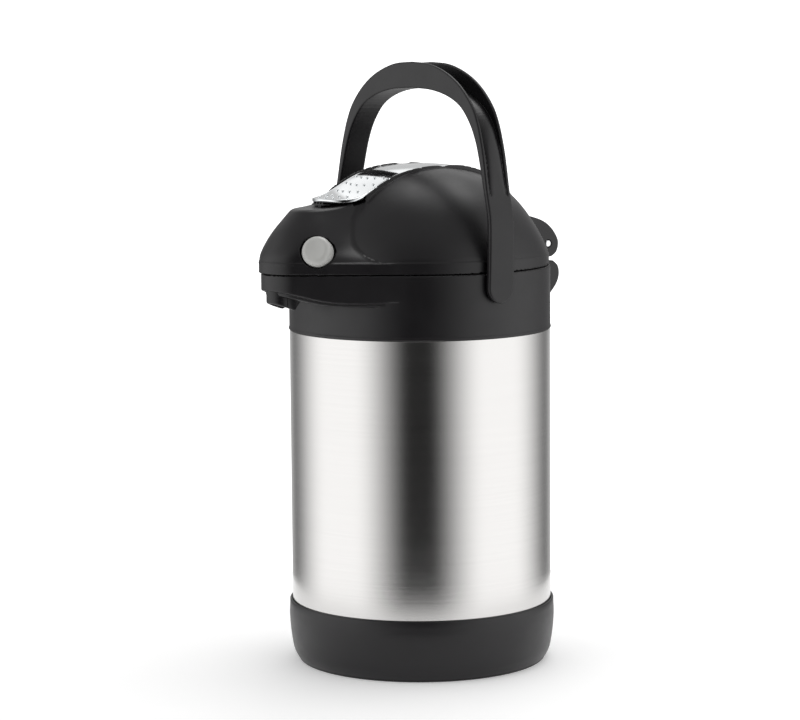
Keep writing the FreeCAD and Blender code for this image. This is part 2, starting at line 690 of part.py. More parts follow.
def make_bail():
    upper = arch(BAIL_OUTSIDE)
    lower = arch(BAIL_INSIDE)
    half = BAIL_WIDTH / 2
    foot = BAIL_Z - half
    edges = [arch_edge(BAIL_OUTSIDE), arch_edge(BAIL_INSIDE)]
    for x_sign, index in ((1, 0), (-1, -1)):
        outer_foot = Vector(x_sign * BAIL_OUTER, 0, foot)
        inner_foot = Vector(x_sign * BAIL_INNER, 0, foot)
        edges += [line(upper[index], outer_foot), line(outer_foot, inner_foot),
                  line(inner_foot, lower[index])]
    band = Part.Face(Part.Wire(Part.__sortEdges__(edges)))
    strap = band.translated(Vector(0, -half, 0)).extrude(Vector(0, BAIL_WIDTH, 0))
    top_half = BAIL_TOP_WIDTH / 2
    taper_side = side([(-half, BAIL_Z), (half, BAIL_Z), (top_half, 385.0), (-top_half, 385.0)])
    taper = across(polygon(taper_side), 95.0)
    strap = strap.common(united([cross_rod(half, 95.0, 0, BAIL_Z), taper]))

    floor = arch(BAIL_GROOVE_FLOOR)
    sky_right = Vector(floor[0].x, 0, 400.0)
    sky_left = Vector(floor[-1].x, 0, 400.0)
    above_floor = face([smooth(floor), line(floor[-1], sky_left), line(sky_left, sky_right),
                        line(sky_right, floor[0])])
    groove = above_floor.translated(Vector(0, -BAIL_GROOVE / 2, 0)).extrude(Vector(0, BAIL_GROOVE, 0))
    pins = [rod(Vector(sign * 75.6, 0, BAIL_Z), Vector(sign * (BAIL_INNER + 0.5), 0, BAIL_Z), BAIL_PIN)
            for sign in (1, -1)]
    bail = united([strap.cut(groove)] + pins)
    bail.rotate(Vector(0, 0, BAIL_Z), Vector(1, 0, 0), -BAIL_LEAN)
    return bail


def make_bail_clips():
    ring = rod(Vector(76.0, 0, BAIL_Z), Vector(78.8, 0, BAIL_Z), 7.0)
    ring = ring.cut(rod(Vector(70.0, 0, BAIL_Z), Vector(80.0, 0, BAIL_Z), BAIL_PIN))
    return Part.Compound([ring, mirrored(ring)])


# --- export ---------------------------------------------------------------------------------------

PARTS = {
    "base_ring": make_base_ring,
    "bottom_cap": make_bottom_cap,
    "foot_pads": make_foot_pads,
    "outer_shell": make_outer_shell,
    "flask_cushion": make_flask_cushion,
    "flask_jacket": make_flask_jacket,
    "flask_liner": make_flask_liner,
    "neck_seal": make_neck_seal,
    "tube_holder": make_tube_holder,
    "dip_tube": make_dip_tube,
    "tube_gasket": make_tube_gasket,
    "collar": make_collar,
    "nozzle_cowl": make_nozzle_cowl,
    "hinge_bracket": make_hinge_bracket,
    "hinge_screws": make_hinge_screws,
    "latch_catches": make_latch_catches,
    "lid_shell": make_lid_shell,
    "lid_base": make_lid_base,
    "lid_screws": make_lid_screws,
    "hinge_pin": make_hinge_pin,
    "lever_pin": make_lever_pin,
    "spout_pipe": make_spout_pipe,
    "stopper": make_stopper,
    "stopper_seal": make_stopper_seal,
    "air_valve": make_air_valve,
    "bellows": make_bellows,
    "bellows_spring": make_bellows_spring,
    "bellows_cap": make_bellows_cap,
    "lever_plate": make_lever_plate,
    "lever_frame": make_lever_frame,
    "lever_lock": make_lever_lock,
    "bail": make_bail,
    "bail_clips": make_bail_clips,
}
PAIRED = {"release_button": make_button, "button_spring": make_button_spring, "latch_hook": make_latch}


def save(name, shape):
    shape.exportStep(os.path.join("parts", name + ".step"))
    solids = len(shape.Solids)
    print(f"{name}: {solids} solid(s), {shape.Volume / 1000:.2f} cm3, valid {shape.isValid()}")


def main():
    os.makedirs("parts", exist_ok=True)
    for name, make in PARTS.items():
        save(name, make())
    for name, make in PAIRED.items():
        right = make()
        save(name + "_right", right)
        save(name + "_left", mirrored(right))


main()
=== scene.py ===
"""Looks of the airpot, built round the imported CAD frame.

The frame's axes: +Z up, -Y towards the spout, X along the bail's pivots. Outlines are in millimetres and
the finished meshes in metres. Moulded pieces are the zero surface of a distance field, which rounds their
edges.
"""
import json
import math

import bpy
import numpy as np
from mathutils import Matrix, Vector


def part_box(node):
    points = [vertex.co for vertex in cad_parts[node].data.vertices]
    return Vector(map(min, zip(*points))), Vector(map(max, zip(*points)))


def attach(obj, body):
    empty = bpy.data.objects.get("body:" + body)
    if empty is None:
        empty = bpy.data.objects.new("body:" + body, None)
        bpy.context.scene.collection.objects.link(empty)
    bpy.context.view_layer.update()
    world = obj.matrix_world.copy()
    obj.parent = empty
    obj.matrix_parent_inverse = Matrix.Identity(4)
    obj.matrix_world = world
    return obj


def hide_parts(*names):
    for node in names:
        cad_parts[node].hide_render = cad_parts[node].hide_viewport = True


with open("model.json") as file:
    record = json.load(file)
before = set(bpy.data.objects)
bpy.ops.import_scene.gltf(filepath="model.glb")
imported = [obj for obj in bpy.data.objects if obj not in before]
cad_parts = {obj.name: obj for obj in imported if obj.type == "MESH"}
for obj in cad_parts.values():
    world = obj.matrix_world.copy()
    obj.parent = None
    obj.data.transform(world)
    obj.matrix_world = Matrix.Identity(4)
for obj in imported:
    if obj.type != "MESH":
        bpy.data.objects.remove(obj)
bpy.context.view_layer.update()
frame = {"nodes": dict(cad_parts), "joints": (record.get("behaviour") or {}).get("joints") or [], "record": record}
MM = 0.001


def corners(node):
    """Lowest and highest corner of a CAD node, in millimetres."""
    low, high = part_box(node)
    return low / MM, high / MM


# Sizes read from the frame, in millimetres
SHELL_LOW, SHELL_HIGH = corners("outer_shell")
COLLAR_LOW, COLLAR_HIGH = corners("collar")
LID_LOW, LID_HIGH = corners("lid_shell")
LEVER_LOW, LEVER_HIGH = corners("lever_plate")
BAIL_LOW, BAIL_HIGH = corners("bail")
BASE_HIGH = corners("base_ring")[1]
BRACKET_LOW, BRACKET_HIGH = corners("hinge_bracket")
SHELL_RADIUS = SHELL_HIGH.x
SHELL_TOP = SHELL_HIGH.z
SEAM = COLLAR_HIGH.z
LID_BOTTOM = LID_LOW.z
JOINTS = {joint["name"]: joint for joint in frame["joints"]}
HINGE_Y, HINGE_Z = (v / MM for v in JOINTS["lid_hinge"]["pos_m"][1:])
LEVER_Y = JOINTS["lever_hinge"]["pos_m"][1] / MM
BAIL_Z = JOINTS["bail_swing"]["pos_m"][2] / MM
NOZZLE_Y = sum(v.y for v in corners("nozzle_cowl")) / 2

# Lid, lever channel and buttons
WALL = 2.6
SKIRT_TOP = 260.5
LID_RADIUS = 82.2
LID_TIP, LID_NOSE = -115.8, 24.0
HINGE_HALF_WIDTH = 16.0
CHANNEL_HALF_WIDTH = 21.7
CHANNEL_DROP = 5.2
CHANNEL_END = 61.0
CHANNEL_WALL = 2.4
RIM_WIDTH = 1.5
RIM_RUN = (-56.0, 42.0)
RIM_RISE = 2.6
POCKET_FLOOR = 292.2
LEVER_HALF_WIDTH = LEVER_HIGH.x
BUTTON_RADIUS = 9.8
BUTTON_CENTRE = Vector((25.9, -94.5, 268.0))
BUTTON_AXIS = -Vector(JOINTS["button_right_slide"]["axis"]).normalized()
BUTTON_WELL_GAP = 0.3
BUTTON_WELL_DEPTH = 13.0
GUIDE_RADIUS, GUIDE_DEPTH = 12.2, 14.5
STEM_HOLE_RADIUS = 14.4
PIN_HOLE_RADIUS = 2.5

# Bail
BAIL_LEAN = math.radians(1.2)
BAIL_HALF_WIDTH = 9.5
BAIL_TAPER = 0.8
GROOVE_HALF_WIDTH = 6.6
GROOVE_SIDE_DEPTH = 2.4

# Dome, from its centre, as (radius, height)
DOME_CENTRE_Z = 240.0
DOME = [(82.2, 253.4), (82.1, 257.0), (82.0, 260.5), (80.6, 264.7), (77.5, 271.4), (72.1, 280.6),
        (63.1, 292.7), (48.0, 305.6), (36.0, 311.8), (20.0, 316.1), (0.0, 317.4), (-20.0, 316.1),
        (-36.0, 311.8)]

# Beak by height: its tip, the radius of its nose and a point on its flank
BEAK = [(260.5, -115.5, 24.0, 50.0, -65.0),
        (264.0, -114.8, 24.5, 42.0, -70.0),
        (268.0, -112.8, 25.0, 35.2, -71.3),
        (273.0, -109.6, 24.5, 30.0, -70.8),
        (279.0, -105.2, 22.0, 25.8, -68.5),
        (285.0, -99.8, 19.0, 22.9, -65.1),
        (292.5, -92.6, 15.0, 20.8, -60.0),
        (301.0, -82.6, 14.5, 19.6, -52.0)]
SHELF = [(-130.0, 291.6), (-92.0, 292.2), (-80.0, 292.7), (-70.0, 294.0), (-62.0, 296.6), (-55.0, 300.5),
         (-45.0, 307.0)]
LEVER = [(-78.0, 298.0), (-70.0, 298.4), (-62.0, 299.6), (-54.0, 302.4), (-46.0, 306.4), (-36.0, 311.1),
         (-24.0, 314.7), (-10.0, 316.8), (6.0, 317.4), (22.0, 316.0), (36.0, 311.6), (48.0, 304.8),
         (60.0, 296.0)]
HUMP = [(68.0, 283.0), (77.2, 281.4), (87.5, 278.0), (94.4, 273.0), (98.8, 267.0), (99.9, 262.6),
        (98.4, 257.4), (94.2, 254.3), (68.0, 254.3)]
BRACKET = [(81.2, 221.0), (87.2, 225.6), (94.2, 231.6), (98.8, 237.4), (100.5, 243.2), (99.4, 248.4),
           (95.7, 251.8), (78.0, 251.8), (78.0, 221.0)]

# Bail, as (distance from the pot's axis, height above the pivot)
BAIL_OUTSIDE = [(88.0, -12.0), (88.0, 30.0), (86.9, 44.0), (83.2, 58.3), (80.7, 70.3), (78.5, 80.3),
                (75.9, 89.3), (72.3, 99.3), (66.6, 109.5), (56.9, 119.5), (46.0, 126.9), (33.0, 132.5),
                (18.0, 136.2), (0.0, 137.3)]
BAIL_INSIDE = [(84.0, -12.0), (84.0, 30.0), (83.4, 43.0), (79.4, 58.3), (76.6, 68.3), (73.4, 79.3),
               (69.6, 89.3), (63.7, 99.3), (53.9, 109.3), (40.0, 115.8), (22.0, 119.6), (0.0, 120.8)]
BAIL_GROOVE_FLOOR = [(84.6, 58.0), (82.2, 67.0), (80.2, 75.0), (77.6, 84.0), (74.8, 91.0), (71.0, 98.6),
                     (64.4, 106.8), (55.4, 113.5), (41.0, 119.6), (22.0, 123.2), (0.0, 124.2)]


# --- curves and fields ----------------------------------------------------------------------------

def spline(points):
    """Natural cubic through (a, b) points in order of a, held level outside them, as a function of a."""
    a, b = np.array(points, float).T
    step = np.diff(a)
    slope = np.diff(b) / step
    count = len(a)
    system = np.eye(count)
    right = np.zeros(count)
    for i in range(1, count - 1):
        system[i, i - 1:i + 2] = step[i - 1], 2 * (step[i - 1] + step[i]), step[i]
        right[i] = 6 * (slope[i] - slope[i - 1])
    bend = np.linalg.solve(system, right)

    def at(x):
        x = np.clip(x, a[0], a[-1])
        i = np.clip(np.searchsorted(a, x) - 1, 0, count - 2)
        h = step[i]
        left, after = a[i + 1] - x, x - a[i]
        return (bend[i] * left ** 3 + bend[i + 1] * after ** 3) / (6 * h) \
            + (b[i] / h - bend[i] * h / 6) * left + (b[i + 1] / h - bend[i + 1] * h / 6) * after
    return at


def rounded_curve(points, pieces=6):
    """Points along a Catmull-Rom curve through the given (a, b) points."""
    p = np.array(points, float)
    p = np.vstack([2 * p[0] - p[1], p, 2 * p[-1] - p[-2]])
    curve = []
    for i in range(1, len(p) - 2):
        for t in np.arange(pieces) / pieces:
            curve.append(0.5 * (2 * p[i] + (p[i + 1] - p[i - 1]) * t
                                + (2 * p[i - 1] - 5 * p[i] + 4 * p[i + 1] - p[i + 2]) * t ** 2
                                + (3 * p[i] - p[i - 1] - 3 * p[i + 1] + p[i + 2]) * t ** 3))
    return [tuple(q) for q in curve] + [tuple(p[-2])]


def outline_field(points, a, b):
    """Signed distance from (a, b) to a closed outline, negative inside."""
    nearest = np.full(np.broadcast_shapes(np.shape(a), np.shape(b)), np.inf)
    inside = np.zeros(nearest.shape, bool)
    for (a0, b0), (a1, b1) in zip(points, points[1:] + points[:1]):
        da, db = a1 - a0, b1 - b0
        along = np.clip(((a - a0) * da + (b - b0) * db) / (da * da + db * db + 1e-12), 0, 1)
        nearest = np.minimum(nearest, (a - a0 - along * da) ** 2 + (b - b0 - along * db) ** 2)
        if db != 0:
            crossing = ((b0 > b) != (b1 > b)) & (a < a0 + (b - b0) * da / db)
            inside ^= crossing
    distance = np.sqrt(nearest)
    return np.where(inside, -distance, distance)


def common(a, b, radius=0.0):
    """Where both fields are inside, its edge rounded."""
    if radius == 0:
        return np.maximum(a, b)
    corner = np.hypot(np.maximum(radius + a, 0), np.maximum(radius + b, 0))
    return np.minimum(-radius, np.maximum(a, b)) + corner


def joined(a, b, radius=0.0):
    """Where either field is inside, its inner corner filled."""
    return -common(-a, -b, radius)


def without(a, b, radius=0.0):
    return common(a, -b, radius)


def slab(value, low, high):
    return np.maximum(low - value, value - high)


def grid_surface(field, low, high, step):
    """Vertices, quads and normals of a field's zero surface, one vertex in each cell that it crosses."""
    axes = [np.arange(l - 2.1 * step, h + 2.1 * step, step) for l, h in zip(low, high)]
    x, y, z = np.meshgrid(*axes, indexing="ij", sparse=True)
    value = np.broadcast_to(field(x, y, z), tuple(len(a) for a in axes)).astype(np.float32)
    inside = value < 0
    shape = np.array(value.shape) - 1
    offsets = [(i, j, k) for i in (0, 1) for j in (0, 1) for k in (0, 1)]
    cell_corners = [inside[i:i + shape[0], j:j + shape[1], k:k + shape[2]] for i, j, k in offsets]
    crossed = np.logical_or.reduce(cell_corners) & ~np.logical_and.reduce(cell_corners)
    number = np.full(crossed.shape, -1)
    cells = np.argwhere(crossed)
    number[crossed] = np.arange(len(cells))
    origin = np.array([a[0] for a in axes])
    points = origin + (cells + 0.5) * step
    quads = []
    for axis in range(3):
        second, third = (axis + 1) % 3, (axis + 2) % 3
        near = np.take(inside, range(shape[axis]), axis)
        far = np.take(inside, range(1, shape[axis] + 1), axis)
        edges = np.argwhere(near != far)
        edges = edges[(edges[:, second] > 0) & (edges[:, third] > 0)
                      & (edges[:, second] < shape[second]) & (edges[:, third] < shape[third])]
        leaving = near[tuple(edges.T)]
        ring = []
        for back_second, back_third in ((0, 0), (1, 0), (1, 1), (0, 1)):
            cell = edges.copy()
            cell[:, second] -= back_second
            cell[:, third] -= back_third
            ring.append(number[tuple(cell.T)])
        ring = np.stack(ring, 1)
        quads.append(np.where(leaving[:, None], ring, ring[:, ::-1]))
    quads = np.concatenate(quads)

    def slope(p):
        reach = 0.05 * step
        parts = []
        for axis in range(3):
            shift = np.zeros(3)
            shift[axis] = reach
            parts.append((field(*(p + shift).T) - field(*(p - shift).T)) / (2 * reach))
        return np.stack(parts, 1)

    def settle(p, rounds):
        for _ in range(rounds):
            gradient = slope(p)
            length = np.maximum((gradient ** 2).sum(1), 0.05)
            move = -field(*p.T)[:, None] * gradient / length[:, None]
            size = np.linalg.norm(move, axis=1, keepdims=True)
            p = p + move * np.minimum(1, 0.6 * step / np.maximum(size, 1e-9))
        return p

    points = settle(points, 4)
    starts = quads.ravel()
    for _ in range(3):
        total = np.zeros_like(points)
        for turn in (1, 3):
            ends = np.roll(quads, turn, 1).ravel()
            for axis in range(3):
                total[:, axis] += np.bincount(starts, points[ends, axis], len(points))
        count = np.bincount(starts, minlength=len(points))[:, None] * 2
        points = settle(points + 0.5 * (total / np.maximum(count, 1) - points), 2)
    normals = slope(points)
    normals /= np.maximum(np.linalg.norm(normals, axis=1, keepdims=True), 1e-9)
    return points, quads, normals


def mesh_object(name, points, faces, body, material, replaces=(), normals=None):
    """A piece from points in millimetres, riding on a body."""
    mesh = bpy.data.meshes.new(name)
    mesh.from_pydata([tuple(p) for p in np.asarray(points, float) * MM], [], [tuple(f) for f in faces])
    mesh.validate()
    mesh.polygons.foreach_set("use_smooth", [True] * len(mesh.polygons))
    if normals is not None and len(normals) == len(mesh.vertices):
        mesh.normals_split_custom_set_from_vertices([tuple(n) for n in normals])
    mesh.update()
    piece = bpy.data.objects.new(name, mesh)
    bpy.context.scene.collection.objects.link(piece)
    piece.data.materials.append(material)
    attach(piece, body)
    if replaces:
        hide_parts(*replaces)
    return piece


def moulding(name, field, low, high, step, body, material, replaces=()):
    points, quads, normals = grid_surface(field, low, high, step)
    return mesh_object(name, points, quads.tolist(), body, material, replaces, normals)


def turned(name, profile, body, material, replaces=(), segments=192, place=None):
    """A piece turned about Z from a closed outline of (radius, height); place is in millimetres."""
    count = len(profile)
    points, faces = [], []
    for i in range(segments):
        turn = 2 * math.pi * i / segments
        for radius, height in profile:
            points.append((radius * math.cos(turn), radius * math.sin(turn), height))
    for i in range(segments):
        here, there = i * count, (i + 1) % segments * count
        for j in range(count):
            k = (j + 1) % count
            if profile[j][0] > 0 or profile[k][0] > 0:
                faces.append((here + j, there + j, there + k, here + k))
    if place is not None:
        points = [place @ Vector(p) for p in points]
    piece = mesh_object(name, [tuple(p) for p in points], faces, body, material, replaces)
    weld = piece.modifiers.new("weld", "WELD")
    weld.merge_threshold = 1e-6
    piece.data.set_sharp_from_angle(angle=math.radians(40))
    return piece


# --- materials ------------------------------------------------------------------------------------

class Material:
    """A principled material built node by node from object coordinates in metres."""

    def __init__(self, name, colour, roughness, metallic=0.0, **inputs):
        self.material = bpy.data.materials.new(name)
        self.material.use_nodes = True
        self.nodes = self.material.node_tree.nodes
        self.links = self.material.node_tree.links
        self.shader = self.nodes["Principled BSDF"]
        self.shader.inputs["Base Color"].default_value = (*colour, 1.0)
        self.shader.inputs["Roughness"].default_value = roughness
        self.shader.inputs["Metallic"].default_value = metallic
        for key, value in inputs.items():
            self.shader.inputs[key.replace("_", " ")].default_value = value
        self.place = self.nodes.new("ShaderNodeTexCoord").outputs["Object"]
        self.colour = colour
        self.normal = None

    def stretched(self, scale):
        mapping = self.nodes.new("ShaderNodeMapping")
        mapping.inputs["Scale"].default_value = scale
        self.links.new(self.place, mapping.inputs["Vector"])
        return mapping.outputs["Vector"]

    def noise(self, scale, detail=3.0, stretch=None):
        node = self.nodes.new("ShaderNodeTexNoise")
        node.inputs["Scale"].default_value = scale
        node.inputs["Detail"].default_value = detail
        self.links.new(self.stretched(stretch) if stretch else self.place, node.inputs["Vector"])
        return node.outputs["Fac"]

    def spread(self, value, low, high, source=(0.3, 0.7)):
        node = self.nodes.new("ShaderNodeMapRange")
        node.inputs["From Min"].default_value, node.inputs["From Max"].default_value = source
        node.inputs["To Min"].default_value, node.inputs["To Max"].default_value = low, high
        self.links.new(value, node.inputs["Value"])
        return node.outputs["Result"]

    def shade(self, value, low, high, source=(0.3, 0.7)):
        """Base colour between two multiples of the material's colour."""
        ramp = self.nodes.new("ShaderNodeValToRGB")
        first, last = ramp.color_ramp.elements
        first.position, last.position = source
        first.color = (*(c * low for c in self.colour), 1)
        last.color = (*(min(c * high, 1) for c in self.colour), 1)
        self.links.new(value, ramp.inputs["Fac"])
        self.links.new(ramp.outputs["Color"], self.shader.inputs["Base Color"])

    def rough(self, value, low, high, source=(0.3, 0.7)):
        self.links.new(self.spread(value, low, high, source), self.shader.inputs["Roughness"])

    def bump(self, value, depth, strength=1.0):
        node = self.nodes.new("ShaderNodeBump")
        node.inputs["Distance"].default_value = depth
        node.inputs["Strength"].default_value = strength
        self.links.new(value, node.inputs["Height"])
        if self.normal:
            self.links.new(self.normal, node.inputs["Normal"])
        self.normal = node.outputs["Normal"]
        self.links.new(self.normal, self.shader.inputs["Normal"])


def black_plastic():
    m = Material("black_plastic", (0.0046, 0.0038, 0.005), 0.4, Specular_IOR_Level=0.45)
    m.shade(m.noise(18, 4), 0.85, 1.2)
    m.rough(m.noise(60, 5), 0.36, 0.43)
    m.bump(m.noise(2600, 2), 0.00004, 0.35)
    m.bump(m.noise(22, 2), 0.0004, 0.08)
    return m.material


def grey_plastic():
    m = Material("grey_plastic", (0.32, 0.33, 0.34), 0.5)
    m.shade(m.noise(30, 4), 0.92, 1.06)
    m.rough(m.noise(90, 4), 0.42, 0.55)
    m.bump(m.noise(1800, 2), 0.00004, 0.3)
    return m.material


def button_plastic():
    m = Material("button_plastic", (0.55, 0.55, 0.53), 0.36, Specular_IOR_Level=0.5)
    m.shade(m.noise(70, 4), 0.95, 1.04)
    m.rough(m.noise(120, 4), 0.3, 0.4)
    m.bump(m.noise(2400, 2), 0.00003, 0.3)
    return m.material


def brushed(name, colour, low, high, stretch, depth=0.00003, streak=0.06):
    """Metal with fine parallel scratches, long where the stretch is small."""
    m = Material(name, colour, low, 1.0)
    lines = m.noise(1.0, 2, stretch)
    m.shade(lines, 1 - streak, 1 + streak)
    m.rough(lines, low, high)
    m.bump(lines, depth, 0.25)
    return m.material


def polished_steel():
    m = Material("polished_steel", (0.80, 0.82, 0.83), 0.08, 1.0)
    m.shade(m.noise(25, 3), 0.97, 1.02)
    m.rough(m.noise(400, 4, (1.0, 0.15, 1.0)), 0.05, 0.13)
    m.bump(m.noise(35, 2), 0.0002, 0.05)
    return m.material


def rubber(name, colour):
    m = Material(name, colour, 0.7)
    m.shade(m.noise(60, 4), 0.85, 1.12)
    m.rough(m.noise(200, 4), 0.6, 0.8)
    m.bump(m.noise(1500, 3), 0.00006, 0.4)
    return m.material


MATERIALS = {
    "black_plastic": black_plastic(),
    "grey_plastic": grey_plastic(),
    "button_plastic": button_plastic(),
    "brushed_steel": brushed("brushed_steel", (0.66, 0.65, 0.64), 0.15, 0.2, (9, 9, 4200), 0.000002, 0.025),
    "polished_steel": polished_steel(),
    "flask_steel": brushed("flask_steel", (0.58, 0.59, 0.60), 0.25, 0.38, (30, 30, 1800)),
    "tube_steel": brushed("tube_steel", (0.66, 0.67, 0.68), 0.2, 0.3, (900, 40, 900)),
    "pin_steel": brushed("pin_steel", (0.78, 0.79, 0.80), 0.16, 0.26, (60, 1500, 1500)),
    "spring_steel": brushed("spring_steel", (0.5, 0.5, 0.5), 0.28, 0.4, (500, 500, 500)),
    "fastener_steel": brushed("fastener_steel", (0.55, 0.55, 0.56), 0.25, 0.4, (700, 700, 700)),
    "silicone": rubber("silicone", (0.72, 0.72, 0.70)),
    "rubber_pad": rubber("rubber_pad", (0.05, 0.05, 0.05)),
}


# --- lid ------------------------------------------------------------------------------------------

dome_reach = spline(sorted((math.atan2(z - DOME_CENTRE_Z, r), math.hypot(r, z - DOME_CENTRE_Z))
                           for r, z in DOME))
beak_tip, beak_nose, beak_flank_x, beak_flank_y = (
    spline([(row[0], row[column]) for row in BEAK]) for column in range(1, 5))
shelf_height = spline(SHELF)
lever_height = spline(LEVER)


def dome_field(x, y, z):
    radius = np.hypot(x, y)
    height = z - DOME_CENTRE_Z
    return np.hypot(radius, height) - dome_reach(np.arctan2(height, radius))


def wedge_field(x, y, tip, nose, flank_x, flank_y):
    """Plan of the beak: two straight flanks that meet in a round nose."""
    centre = tip + nose
    reach = np.hypot(flank_x, flank_y - centre)
    angle = np.arctan2(flank_y - centre, flank_x) - np.arccos(nose / reach)
    out_x, out_y = np.cos(angle), np.sin(angle)
    px, py = np.abs(x), y - centre
    behind = -px * out_y + py * out_x > 0
    return np.where(behind, px * out_x + py * out_y, np.hypot(px, py)) - nose


def egg_field(x, y, radius, tip, nose):
    """Plan of a circle with a beak whose flanks are tangent to it."""
    turn = math.asin((radius - nose) / abs(tip + nose))
    flank_x, flank_y = radius * math.cos(turn), -radius * math.sin(turn)
    plan = common(wedge_field(x, y, tip, nose, flank_x, flank_y), y - flank_y - 0.5)
    return joined(plan, np.hypot(x, y) - radius)


def beak_field(x, y, z):
    steepness = 0.85
    wedge = steepness * wedge_field(x, y, beak_tip(z), beak_nose(z), beak_flank_x(z), beak_flank_y(z))
    wedge = common(wedge, y - beak_flank_y(z) - 0.5)
    shelf = 0.96 * (z - shelf_height(y))
    return common(common(wedge, shelf, 1.6), SKIRT_TOP - 1.0 - z)


def button_place(x, y, z):
    """Distance from the nearer button's axis, and distance outwards along it from the cheek."""
    dx, dy, dz = np.abs(x) - BUTTON_CENTRE.x, y - BUTTON_CENTRE.y, z - BUTTON_CENTRE.z
    along = dx * BUTTON_AXIS.x + dy * BUTTON_AXIS.y + dz * BUTTON_AXIS.z
    return np.sqrt(np.maximum(dx * dx + dy * dy + dz * dz - along * along, 0)), along


def lid_field(x, y, z):
    skirt = common(egg_field(x, y, LID_RADIUS, LID_TIP, LID_NOSE) + 0 * z, z - SKIRT_TOP, 0.5)
    body = joined(joined(dome_field(x, y, z), beak_field(x, y, z), 1.6), skirt, 0.8)
    inner = body + WALL
    top = lever_height(y)
    rim = np.maximum(slab(np.abs(x), CHANNEL_HALF_WIDTH, CHANNEL_HALF_WIDTH + RIM_WIDTH),
                     slab(y, *RIM_RUN))
    rim = np.maximum(rim, dome_field(x, y, z) - RIM_RISE)
    rim = common(rim, 0.9 * np.maximum(z - top + 0.1, top - 6.0 - z), 0.4)
    body = joined(body, rim, 0.6)
    hump = common(outline_field(HUMP_CURVE, y, z), np.abs(x) - HINGE_HALF_WIDTH, 1.2)
    outside = joined(body, hump, 1.0)
    channel_wall = common(np.abs(x) - CHANNEL_HALF_WIDTH - CHANNEL_WALL, 0.9 * (top - 7.6 - z))
    button_off, button_along = button_place(x, y, z)
    guide = np.maximum(button_off - GUIDE_RADIUS, -GUIDE_DEPTH - button_along)
    kept = joined(joined(-inner, channel_wall), guide)
    solid = common(common(outside, kept, 0.3), LID_BOTTOM - z, 0.6)
    pocket = common(np.abs(x) - CHANNEL_HALF_WIDTH, np.maximum(LEVER_Y - 6.2 - y, POCKET_FLOOR - z))
    channel = common(common(np.abs(x) - CHANNEL_HALF_WIDTH, 0.9 * (top - CHANNEL_DROP - z), 0.8),
                     slab(y, -62.0, CHANNEL_END))
    solid = without(solid, joined(channel, common(pocket, y - CHANNEL_END)), 0.9)
    well = np.maximum(button_off - BUTTON_RADIUS - BUTTON_WELL_GAP, -BUTTON_WELL_DEPTH - button_along)
    solid = without(solid, well, 0.25)
    stem = np.maximum(np.hypot(x, y) - STEM_HOLE_RADIUS, 290.0 - z)
    tongue = np.maximum(np.abs(x) - 7.9, np.maximum(HINGE_Y - 8.2 - y, z - HINGE_Z - 8.3))
    lock = np.maximum(slab(x, -2.2, 7.2), slab(y, -75.8, -72.2))
    lock = np.maximum(lock, 285.0 - z)
    pin_hole = np.hypot(y - HINGE_Y, z - HINGE_Z) - PIN_HOLE_RADIUS + 0 * x
    for hole in (stem, tongue, lock, pin_hole):
        solid = without(solid, hole, 0.4)
    return solid


HUMP_CURVE = rounded_curve(HUMP[:-1], 4) + [HUMP[-1]]


def make_lid():
    moulding("lid_moulding", lid_field, LID_LOW, LID_HIGH, 1.0, "lid",
             MATERIALS["black_plastic"], ["lid_shell"])


# --- collar ---------------------------------------------------------------------------------------

COLLAR_RADIUS = 83.2
COLLAR_WALL = 3.7
DECK_LOW, DECK_HIGH = 229.0, 232.0
TRAY_FLOOR = 245.2
NECK_RADIUS = 34.0
NOZZLE_HOLE = 6.8
PIVOT_HOLE = 4.6
COLLAR_TIP, COLLAR_NOSE = COLLAR_LOW.y, 23.0
UNDER_BEAK = [(-130.0, 244.0), (-116.0, 243.4), (-108.0, 241.6), (-100.0, 239.2), (-92.0, 237.0),
              (-84.0, 235.9), (-70.0, 235.8), (-60.0, 236.6)]
under_height = spline(UNDER_BEAK)


def collar_field(x, y, z):
    radius = np.hypot(x, y)
    plan = egg_field(x, y, COLLAR_RADIUS, COLLAR_TIP, COLLAR_NOSE)
    step_plan = egg_field(x, y, COLLAR_RADIUS - 0.5, COLLAR_TIP + 3.0, COLLAR_NOSE - 2.0)
    under = 0.93 * (under_height(y) - z)
    flange = joined(common(plan, under, 0.6), common(step_plan, under - 2.0, 0.8))
    body = radius - COLLAR_RADIUS
    outside = common(joined(body + 0 * z, flange), slab(z, SHELL_TOP, SEAM), 0.5)
    bead = np.hypot(radius - COLLAR_RADIUS + 0.6, z - SHELL_TOP - 1.0) - 1.0
    outside = joined(outside, bead, 0.2)
    inner = radius - COLLAR_RADIUS + COLLAR_WALL
    deck = slab(z, DECK_LOW, DECK_HIGH)
    room = common(inner + 0 * z, -deck)
    tray = np.maximum(joined(plan, body) + 3.0, TRAY_FLOOR - z)
    neck = radius - NECK_RADIUS + 0 * z
    nozzle = np.maximum(np.hypot(x, y - NOZZLE_Y) - NOZZLE_HOLE, z - SEAM - 5)
    pivot = np.hypot(y, z - BAIL_Z) - PIVOT_HOLE + 0 * x
    for hole in (room, tray, neck, nozzle, pivot):
        outside = without(outside, hole, 0.3)
    return outside


def make_collar():
    low = Vector((-84.0, COLLAR_LOW.y, SHELL_TOP - 1.5))
    high = Vector((84.0, 84.0, SEAM))
    moulding("collar_moulding", collar_field, low, high, 1.0, "pot",
             MATERIALS["black_plastic"], ["collar"])


COWL_NOSE_RADIUS = 9.0
COWL_HALF_WIDTH = 8.6
COWL_HOLE = 6.6
COWL = [(-115.0, 246.0), (-115.0, 236.1), (-99.5, 230.6), (-94.5, 236.8), (-88.0, 244.5), (-88.0, 246.0)]


